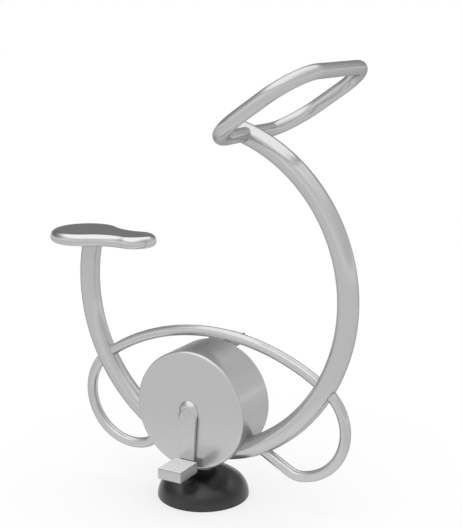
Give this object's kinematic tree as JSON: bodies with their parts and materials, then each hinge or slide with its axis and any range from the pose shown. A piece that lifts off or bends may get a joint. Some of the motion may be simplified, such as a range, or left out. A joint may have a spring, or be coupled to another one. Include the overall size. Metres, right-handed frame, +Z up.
{
  "type": "outdoor exercise bike",
  "caption": "Silver outdoor exercise bike: a curved tube spine carries a saddle, a handlebar loop and a closed crank drum on a black dome base.",
  "frame": {"origin": "on the ground, at the centre of the base flange, under the crank axle", "axes": "+X forward towards the handlebar, +Y to the rider's left along the crank axle, +Z up"},
  "size_m": [1.0681, 0.5434, 1.3632],
  "materials": {
    "frame_silver": "satin silver coat on steel tube",
    "drum_silver": "satin silver coat on pressed steel",
    "saddle_silver": "smooth silver coat on a cast shell",
    "crank_silver": "satin silver coat on steel bar",
    "pedal_silver": "satin cast metal with ribbed treads",
    "dome_black": "matt black moulding",
    "flange_steel": "galvanised steel plate",
    "inner_steel": "primed steel inside the drum",
    "machined_steel": "turned steel",
    "fastener_steel": "stainless fasteners",
    "seal_rubber": "black nitrile",
    "belt_rubber": "black ribbed belt",
    "magnet_nickel": "nickel-plated magnets",
    "bush_bronze": "sintered bronze"
  },
  "bodies": {
    "frame": {"base_flange": "flange_steel", "neck_tube": "frame_silver", "flange_gussets": "flange_steel", "base_cover": "dome_black", "spine_tube": "frame_silver", "spine_cap": "frame_silver", "handlebar_tube": "frame_silver", "arch_tube": "frame_silver", "rear_loop_tube": "frame_silver", "front_loop_tube": "frame_silver", "saddle_shell": "saddle_silver", "saddle_plate": "inner_steel", "saddle_screws": "fastener_steel", "drum_shell": "drum_silver", "drum_cover": "drum_silver", "cover_ring": "inner_steel", "cover_screws": "fastener_steel", "right_axle_seal": "seal_rubber", "left_axle_seal": "seal_rubber", "right_hanger_plate": "inner_steel", "left_hanger_plate": "inner_steel", "axle_housing": "inner_steel", "flywheel_housing": "inner_steel", "right_axle_bearing": "machined_steel", "left_axle_bearing": "machined_steel", "right_flywheel_bearing": "machined_steel", "left_flywheel_bearing": "machined_steel", "brake_plate": "inner_steel", "brake_magnets": "magnet_nickel", "brake_standoffs": "machined_steel", "brake_bolts": "fastener_steel", "drive_belt": "belt_rubber"},
    "crank": {"crank_axle": "machined_steel", "drive_pulley": "machined_steel", "pulley_screws": "fastener_steel", "right_crank": "crank_silver", "left_crank": "crank_silver", "right_crank_bolt": "fastener_steel", "left_crank_bolt": "fastener_steel", "right_crank_cap": "crank_silver", "left_crank_cap": "crank_silver", "right_pedal_spindle": "machined_steel", "left_pedal_spindle": "machined_steel"},
    "right_pedal": {"right_pedal_body": "pedal_silver", "right_pedal_bushes": "bush_bronze", "right_pedal_keeper": "machined_steel", "right_pedal_screws": "fastener_steel"},
    "left_pedal": {"left_pedal_body": "pedal_silver", "left_pedal_bushes": "bush_bronze", "left_pedal_keeper": "machined_steel", "left_pedal_screws": "fastener_steel"},
    "flywheel": {"flywheel": "machined_steel", "flywheel_shaft": "machined_steel", "flywheel_nuts": "fastener_steel", "driven_pulley": "machined_steel"}
  },
  "joints": [
    {"name": "crank_spin", "type": "hinge", "parent": "frame", "child": "crank", "pos_m": [0, 0, 0.3012], "axis": [0, 1, 0], "continuous": true},
    {"name": "right_pedal_spin", "type": "hinge", "parent": "crank", "child": "right_pedal", "pos_m": [0, -0.15, 0.1312], "axis": [0, 1, 0], "continuous": true},
    {"name": "left_pedal_spin", "type": "hinge", "parent": "crank", "child": "left_pedal", "pos_m": [0, 0.15, 0.4712], "axis": [0, 1, 0], "continuous": true},
    {"name": "flywheel_spin", "type": "hinge", "parent": "frame", "child": "flywheel", "pos_m": [0, 0, 0.3982], "axis": [0, 1, 0], "continuous": true}
  ],
  "couplings": [
    {"joint": "flywheel_spin", "follows": "crank_spin", "ratio": 3}
  ]
}
